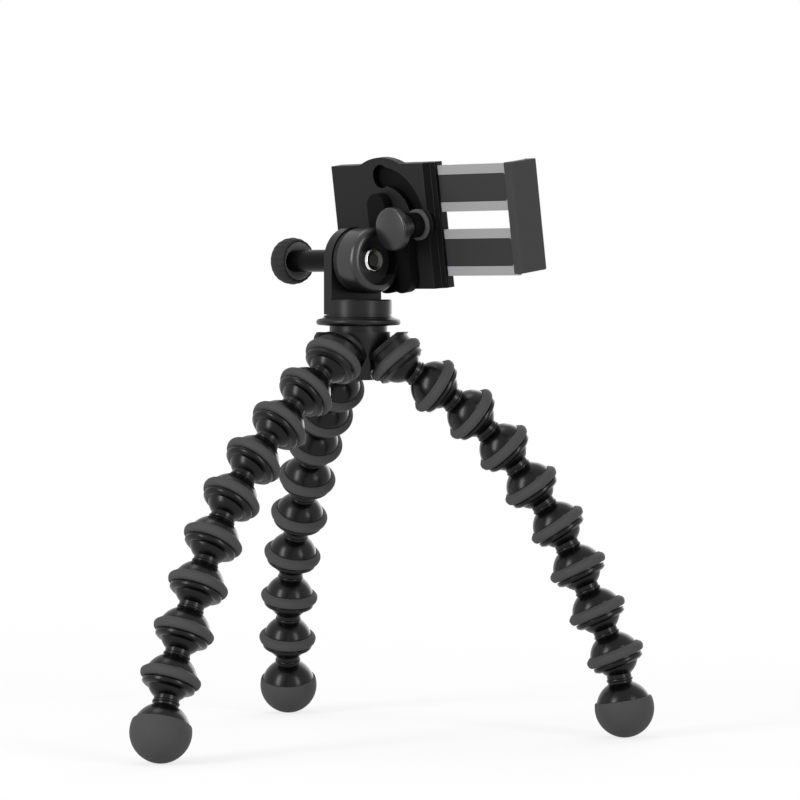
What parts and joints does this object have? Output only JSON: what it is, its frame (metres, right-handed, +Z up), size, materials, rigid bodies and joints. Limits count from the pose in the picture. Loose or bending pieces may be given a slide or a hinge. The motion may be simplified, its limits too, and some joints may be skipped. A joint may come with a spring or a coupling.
{
  "type": "flexible leg tripod",
  "caption": "Small tripod with bendable legs of ball and socket beads and a tilting head with a sliding phone clamp.",
  "frame": {"origin": "point on the floor, on the hub's axis, between the three feet", "axes": "+Z up along the hub's axis; -Y towards the viewer of the picture; the clamp's slide points 47.4 degrees from +X towards -Y"},
  "size_m": [0.2053, 0.2135, 0.2335],
  "materials": {
    "black_gloss_plastic": "gloss",
    "black_satin_plastic": "satin",
    "grey_rubber": "matte",
    "dark_rubber": "matte",
    "dark_grey_plastic": "matte",
    "light_grey_plastic": "satin",
    "zinc_steel": "satin",
    "chromed_steel": "polished",
    "brass": "satin"
  },
  "bodies": {
    "hub": {"hub": "black_satin_plastic", "hub_grip_rings": "grey_rubber", "tripod_screw": "zinc_steel"},
    "platform_wheel": {"platform_wheel": "black_satin_plastic"},
    "turning_base": {"turning_base": "black_satin_plastic", "base_insert": "brass", "friction_washer": "dark_rubber"},
    "tilt_block": {"tilt_block": "black_gloss_plastic", "tilt_nut": "chromed_steel", "pivot_bolt": "zinc_steel", "slot_nut": "zinc_steel", "slot_bush": "light_grey_plastic"},
    "tilt_knob": {"tilt_knob": "black_gloss_plastic", "tilt_knob_grip": "dark_rubber", "tilt_bolt": "zinc_steel"},
    "lock_knob": {"lock_knob": "black_satin_plastic", "lock_bolt": "zinc_steel"},
    "clamp": {"clamp_back": "dark_grey_plastic", "clamp_housing": "dark_grey_plastic", "track_cover": "dark_grey_plastic", "clamp_screws": "zinc_steel", "fixed_jaw_pad": "dark_rubber", "phone_rest_pad": "dark_rubber", "spring_rods": "zinc_steel", "jaw_springs": "zinc_steel"},
    "slide": {"slide_frame": "light_grey_plastic", "frame_panels": "dark_grey_plastic", "moving_jaw": "dark_grey_plastic", "moving_jaw_pad": "dark_rubber"},
    "right_leg_bead_1": {"right_leg_bead_1": "black_gloss_plastic"},
    "right_leg_bead_2": {"right_leg_bead_2": "black_gloss_plastic"},
    "right_leg_bead_3": {"right_leg_bead_3": "black_gloss_plastic"},
    "right_leg_bead_4": {"right_leg_bead_4": "black_gloss_plastic"},
    "right_leg_bead_5": {"right_leg_bead_5": "black_gloss_plastic"},
    "right_leg_bead_6": {"right_leg_bead_6": "black_gloss_plastic"},
    "right_leg_bead_7": {"right_leg_bead_7": "black_gloss_plastic"},
    "right_leg_bead_8": {"right_leg_bead_8": "black_gloss_plastic"},
    "right_leg_foot": {"right_leg_foot": "black_gloss_plastic", "right_leg_foot_cap": "grey_rubber"},
    "left_leg_bead_1": {"left_leg_bead_1": "black_gloss_plastic"},
    "left_leg_bead_2": {"left_leg_bead_2": "black_gloss_plastic"},
    "left_leg_bead_3": {"left_leg_bead_3": "black_gloss_plastic"},
    "left_leg_bead_4": {"left_leg_bead_4": "black_gloss_plastic"},
    "left_leg_bead_5": {"left_leg_bead_5": "black_gloss_plastic"},
    "left_leg_bead_6": {"left_leg_bead_6": "black_gloss_plastic"},
    "left_leg_bead_7": {"left_leg_bead_7": "black_gloss_plastic"},
    "left_leg_bead_8": {"left_leg_bead_8": "black_gloss_plastic"},
    "left_leg_foot": {"left_leg_foot": "black_gloss_plastic", "left_leg_foot_cap": "grey_rubber"},
    "rear_leg_bead_1": {"rear_leg_bead_1": "black_gloss_plastic"},
    "rear_leg_bead_2": {"rear_leg_bead_2": "black_gloss_plastic"},
    "rear_leg_bead_3": {"rear_leg_bead_3": "black_gloss_plastic"},
    "rear_leg_bead_4": {"rear_leg_bead_4": "black_gloss_plastic"},
    "rear_leg_bead_5": {"rear_leg_bead_5": "black_gloss_plastic"},
    "rear_leg_bead_6": {"rear_leg_bead_6": "black_gloss_plastic"},
    "rear_leg_bead_7": {"rear_leg_bead_7": "black_gloss_plastic"},
    "rear_leg_bead_8": {"rear_leg_bead_8": "black_gloss_plastic"},
    "rear_leg_foot": {"rear_leg_foot": "black_gloss_plastic", "rear_leg_foot_cap": "grey_rubber"}
  },
  "joints": [
    {"name": "platform_wheel_turn", "type": "hinge", "parent": "hub", "child": "platform_wheel", "pos_m": [0, 0, 0.16751], "axis": [0, 0, 1], "continuous": true},
    {"name": "head_pan", "type": "hinge", "parent": "hub", "child": "turning_base", "pos_m": [0, 0, 0.16936], "axis": [0, 0, 1], "continuous": true},
    {"name": "head_tilt", "type": "hinge", "parent": "turning_base", "child": "tilt_block", "pos_m": [0, 0, 0.19191], "axis": [0.6769, -0.7361, 0], "range_deg": [-5, 80]},
    {"name": "tilt_knob_turn", "type": "hinge", "parent": "turning_base", "child": "tilt_knob", "pos_m": [-0.0243, 0.02643, 0.19191], "axis": [-0.6769, 0.7361, 0], "continuous": true},
    {"name": "clamp_turn", "type": "hinge", "parent": "tilt_block", "child": "clamp", "pos_m": [0.01097, 0.00601, 0.20614], "axis": [-0.7289, -0.6703, -0.1392], "range_deg": [-43, 0]},
    {"name": "lock_knob_turn", "type": "hinge", "parent": "tilt_block", "child": "lock_knob", "pos_m": [0.01272, -0.01901, 0.20394], "axis": [-0.7289, -0.6703, -0.1392], "continuous": true},
    {"name": "jaw_slide", "type": "slide", "parent": "clamp", "child": "slide", "axis": [0.6769, -0.7361, 0], "range_m": [-0.0344, 0], "deforming": ["jaw_springs"]},
    {"name": "right_leg_ball_1", "type": "hinge", "parent": "hub", "child": "right_leg_bead_1", "pos_m": [0.01559, -0.00283, 0.15166], "axis": [0.213, -0.977, 0], "range_deg": [-39.4, 3.9]},
    {"name": "right_leg_ball_2", "type": "hinge", "parent": "right_leg_bead_1", "child": "right_leg_bead_2", "pos_m": [0.0312, 0.00057, 0.14125], "axis": [-0.5796, -0.1618, -0.7986], "range_deg": [-22.9, 28.5]},
    {"name": "right_leg_ball_3", "type": "hinge", "parent": "right_leg_bead_2", "child": "right_leg_bead_3", "pos_m": [0.04586, 0.00466, 0.12978], "axis": [0.2096, -0.9778, 0], "range_deg": [-17.3, 34.4]},
    {"name": "right_leg_ball_4", "type": "hinge", "parent": "right_leg_bead_3", "child": "right_leg_bead_4", "pos_m": [0.0589, 0.00746, 0.11616], "axis": [-0.8036, -0.1302, -0.5807], "range_deg": [-26.5, 22.4]},
    {"name": "right_leg_ball_5", "type": "hinge", "parent": "right_leg_bead_4", "child": "right_leg_bead_5", "pos_m": [0.06983, 0.00923, 0.10064], "axis": [-0.0087, -1, 0], "range_deg": [-24.3, 26.5]},
    {"name": "right_leg_ball_6", "type": "hinge", "parent": "right_leg_bead_5", "child": "right_leg_bead_6", "pos_m": [0.08049, 0.00914, 0.08483], "axis": [-0.8975, 0.1023, -0.4289], "range_deg": [-28, 21.2]},
    {"name": "right_leg_ball_7", "type": "hinge", "parent": "right_leg_bead_6", "child": "right_leg_bead_7", "pos_m": [0.08862, 0.00821, 0.06761], "axis": [-0.1271, -0.9919, 0], "range_deg": [-24.8, 27.1]},
    {"name": "right_leg_ball_8", "type": "hinge", "parent": "right_leg_bead_7", "child": "right_leg_bead_8", "pos_m": [0.09637, 0.00722, 0.05022], "axis": [-0.9193, 0.1047, -0.3795], "range_deg": [-25.6, 26.2]},
    {"name": "right_leg_ball_9", "type": "hinge", "parent": "right_leg_bead_8", "child": "right_leg_foot", "pos_m": [0.10356, 0.0064, 0.03258], "axis": [-0.1426, -0.9898, 0], "range_deg": [-13.2, 38.7]},
    {"name": "left_leg_ball_1", "type": "hinge", "parent": "hub", "child": "left_leg_bead_1", "pos_m": [-0.01025, -0.01209, 0.15166], "axis": [-0.673, 0.7396, 0], "range_deg": [-34.3, 16.8]},
    {"name": "left_leg_ball_2", "type": "hinge", "parent": "left_leg_bead_1", "child": "left_leg_bead_2", "pos_m": [-0.02104, -0.0219, 0.13938], "axis": [0.4856, 0.4641, -0.7408], "range_deg": [-24.8, 26.9]},
    {"name": "left_leg_ball_3", "type": "hinge", "parent": "left_leg_bead_2", "child": "left_leg_bead_3", "pos_m": [-0.03125, -0.03166, 0.12657], "axis": [-0.6984, 0.7157, 0], "range_deg": [-23.2, 28.6]},
    {"name": "left_leg_ball_4", "type": "hinge", "parent": "left_leg_bead_3", "child": "left_leg_bead_4", "pos_m": [-0.04091, -0.04109, 0.11312], "axis": [0.5061, 0.566, -0.6508], "range_deg": [-22.8, 28.4]},
    {"name": "left_leg_ball_5", "type": "hinge", "parent": "left_leg_bead_4", "child": "left_leg_bead_5", "pos_m": [-0.04918, -0.05034, 0.09864], "axis": [-0.7547, 0.6561, 0], "range_deg": [-18, 33.8]},
    {"name": "left_leg_ball_6", "type": "hinge", "parent": "left_leg_bead_5", "child": "left_leg_bead_6", "pos_m": [-0.05594, -0.05811, 0.0826], "axis": [0.5437, 0.7009, -0.4617], "range_deg": [-23.7, 27.2]},
    {"name": "left_leg_ball_7", "type": "hinge", "parent": "left_leg_bead_6", "child": "left_leg_bead_7", "pos_m": [-0.06133, -0.06507, 0.06569], "axis": [-0.766, 0.6428, 0], "range_deg": [-23.3, 28.5]},
    {"name": "left_leg_ball_8", "type": "hinge", "parent": "left_leg_bead_7", "child": "left_leg_bead_8", "pos_m": [-0.06649, -0.07122, 0.0484], "axis": [0.5502, 0.7275, -0.4099], "range_deg": [-24.7, 27.2]},
    {"name": "left_leg_ball_9", "type": "hinge", "parent": "left_leg_bead_8", "child": "left_leg_foot", "pos_m": [-0.07121, -0.07745, 0.03101], "axis": [-0.9348, 0.3551, 0], "range_deg": [-26.2, 24.1]},
    {"name": "rear_leg_ball_1", "type": "hinge", "parent": "hub", "child": "rear_leg_bead_1", "pos_m": [-0.00534, 0.01492, 0.15166], "axis": [0.9563, 0.2924, 0], "range_deg": [-37.9, 13.9]},
    {"name": "rear_leg_ball_2", "type": "hinge", "parent": "rear_leg_bead_1", "child": "rear_leg_bead_2", "pos_m": [-0.00982, 0.02956, 0.14029], "axis": [0.1718, -0.5382, -0.8251], "range_deg": [-25.3, 26.4]},
    {"name": "rear_leg_ball_3", "type": "hinge", "parent": "rear_leg_bead_2", "child": "rear_leg_bead_3", "pos_m": [-0.0146, 0.04454, 0.12952], "axis": [0.9461, 0.3239, 0], "range_deg": [-18.3, 33.5]},
    {"name": "rear_leg_ball_4", "type": "hinge", "parent": "rear_leg_bead_3", "child": "rear_leg_bead_4", "pos_m": [-0.01919, 0.05795, 0.11677], "axis": [0.2216, -0.7727, -0.5948], "range_deg": [-25.6, 21.3]},
    {"name": "rear_leg_ball_5", "type": "hinge", "parent": "rear_leg_bead_4", "child": "rear_leg_bead_5", "pos_m": [-0.02232, 0.06885, 0.10144], "axis": [0.9361, 0.3518, 0], "range_deg": [-21.5, 30.1]},
    {"name": "rear_leg_ball_6", "type": "hinge", "parent": "rear_leg_bead_5", "child": "rear_leg_bead_6", "pos_m": [-0.02588, 0.07833, 0.08529], "axis": [0.3285, -0.8382, -0.4352], "range_deg": [-24.8, 25.7]},
    {"name": "rear_leg_ball_7", "type": "hinge", "parent": "rear_leg_bead_6", "child": "rear_leg_bead_7", "pos_m": [-0.02891, 0.08606, 0.06813], "axis": [0.965, 0.2622, 0], "range_deg": [-17, 34.7]},
    {"name": "rear_leg_ball_8", "type": "hinge", "parent": "rear_leg_bead_7", "child": "rear_leg_bead_8", "pos_m": [-0.03035, 0.09137, 0.04988], "axis": [0.1351, -0.9375, -0.3206], "range_deg": [-27.9, 23.9]},
    {"name": "rear_leg_ball_9", "type": "hinge", "parent": "rear_leg_bead_8", "child": "rear_leg_foot", "pos_m": [-0.03122, 0.09742, 0.03182], "axis": [0.9993, -0.0384, 0], "range_deg": [-25.6, 25.9]}
  ]
}
